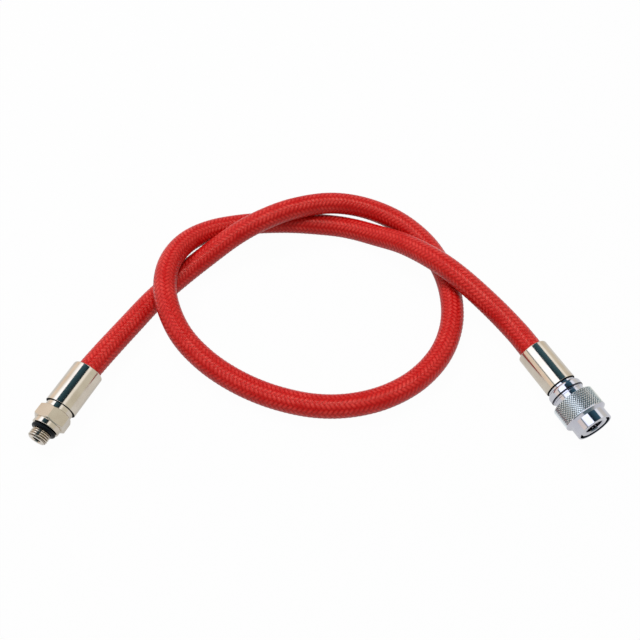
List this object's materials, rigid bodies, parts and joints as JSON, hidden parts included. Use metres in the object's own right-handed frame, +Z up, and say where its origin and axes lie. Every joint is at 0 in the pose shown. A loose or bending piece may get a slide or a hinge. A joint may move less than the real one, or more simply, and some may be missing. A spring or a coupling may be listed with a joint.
{
  "type": "coiled air hose",
  "caption": "Low-pressure air hose laid in one loose knotted loop, with a red braided cover, crimped ferrules, a threaded port stud and a spring-locked quick-release coupler.",
  "frame": {"origin": "on the bench, midway between the two fittings, at the bottom centre of the box round the rigid fittings", "axes": "+X from the port stud towards the coupler, along the widest reach of the fittings; +Y from the fittings over the hose's loop; +Z up from the bench"},
  "size_m": [0.2709, 0.1502, 0.0242],
  "materials": {
    "warm_nickel": "polished nickel plate over brass",
    "bright_chrome": "bright chrome plate over brass",
    "cover_braid": "fine herringbone braid of polyester yarn with a slight sheen",
    "reinforcement_yarn": "open polyester weave",
    "liner_rubber": "smooth extruded tube",
    "seal_rubber": "satin nitrile",
    "core_brass": "turned",
    "core_gasket": "pressed PTFE",
    "spring_steel": "drawn stainless wire",
    "ball_steel": "polished stainless balls"
  },
  "bodies": {
    "hose_assembly": {"stud_fitting": "warm_nickel", "port_o_ring": "seal_rubber", "stud_ferrule": "warm_nickel", "hose_liner": "liner_rubber", "hose_reinforcement": "reinforcement_yarn", "hose_cover": "cover_braid", "coupler_ferrule": "warm_nickel", "coupler_stem": "bright_chrome", "stem_o_ring": "seal_rubber", "coupler_body": "bright_chrome", "socket_o_ring": "seal_rubber", "retaining_ring": "spring_steel", "core_plug": "core_brass", "core_gasket": "core_gasket", "core_spring": "spring_steel"},
    "spring_carrier": {"sleeve_spring": "spring_steel"},
    "sleeve": {"release_sleeve": "bright_chrome"},
    "valve_pin": {"core_pin": "core_brass", "core_seal": "seal_rubber"},
    "ball_1": {"lock_ball_1": "ball_steel"},
    "ball_2": {"lock_ball_2": "ball_steel"},
    "ball_3": {"lock_ball_3": "ball_steel"},
    "ball_4": {"lock_ball_4": "ball_steel"},
    "ball_5": {"lock_ball_5": "ball_steel"},
    "ball_6": {"lock_ball_6": "ball_steel"}
  },
  "joints": [
    {"name": "sleeve_spin", "type": "hinge", "parent": "hose_assembly", "child": "spring_carrier", "pos_m": [0.1278, -0.0195, 0.0106], "axis": [-0.4695, 0.8829, 0], "continuous": true},
    {"name": "sleeve_slide", "type": "slide", "parent": "spring_carrier", "child": "sleeve", "axis": [-0.4695, 0.8829, 0], "range_m": [0, 0.0018], "stiffness_N_per_m": 1500, "deforming": ["sleeve_spring"]},
    {"name": "valve_press", "type": "slide", "parent": "hose_assembly", "child": "valve_pin", "axis": [-0.4695, 0.8829, 0], "range_m": [0, 0.0018], "stiffness_N_per_m": 400, "deforming": ["core_spring"]},
    {"name": "ball_lift_1", "type": "slide", "parent": "hose_assembly", "child": "ball_1", "axis": [0, 0, -1], "range_m": [0, 0.0005]},
    {"name": "ball_lift_2", "type": "slide", "parent": "hose_assembly", "child": "ball_2", "axis": [-0.7647, -0.4066, -0.5], "range_m": [0, 0.0005]},
    {"name": "ball_lift_3", "type": "slide", "parent": "hose_assembly", "child": "ball_3", "axis": [-0.7647, -0.4066, 0.5], "range_m": [0, 0.0005]},
    {"name": "ball_lift_4", "type": "slide", "parent": "hose_assembly", "child": "ball_4", "axis": [0, 0, 1], "range_m": [0, 0.0005]},
    {"name": "ball_lift_5", "type": "slide", "parent": "hose_assembly", "child": "ball_5", "axis": [0.7647, 0.4066, 0.5], "range_m": [0, 0.0005]},
    {"name": "ball_lift_6", "type": "slide", "parent": "hose_assembly", "child": "ball_6", "axis": [0.7647, 0.4066, -0.5], "range_m": [0, 0.0005]}
  ],
  "couplings": [
    {"joint": "ball_lift_1", "follows": "sleeve_slide", "ratio": 0.2777},
    {"joint": "ball_lift_2", "follows": "sleeve_slide", "ratio": 0.2777},
    {"joint": "ball_lift_3", "follows": "sleeve_slide", "ratio": 0.2777},
    {"joint": "ball_lift_4", "follows": "sleeve_slide", "ratio": 0.2777},
    {"joint": "ball_lift_5", "follows": "sleeve_slide", "ratio": 0.2777},
    {"joint": "ball_lift_6", "follows": "sleeve_slide", "ratio": 0.2777}
  ]
}
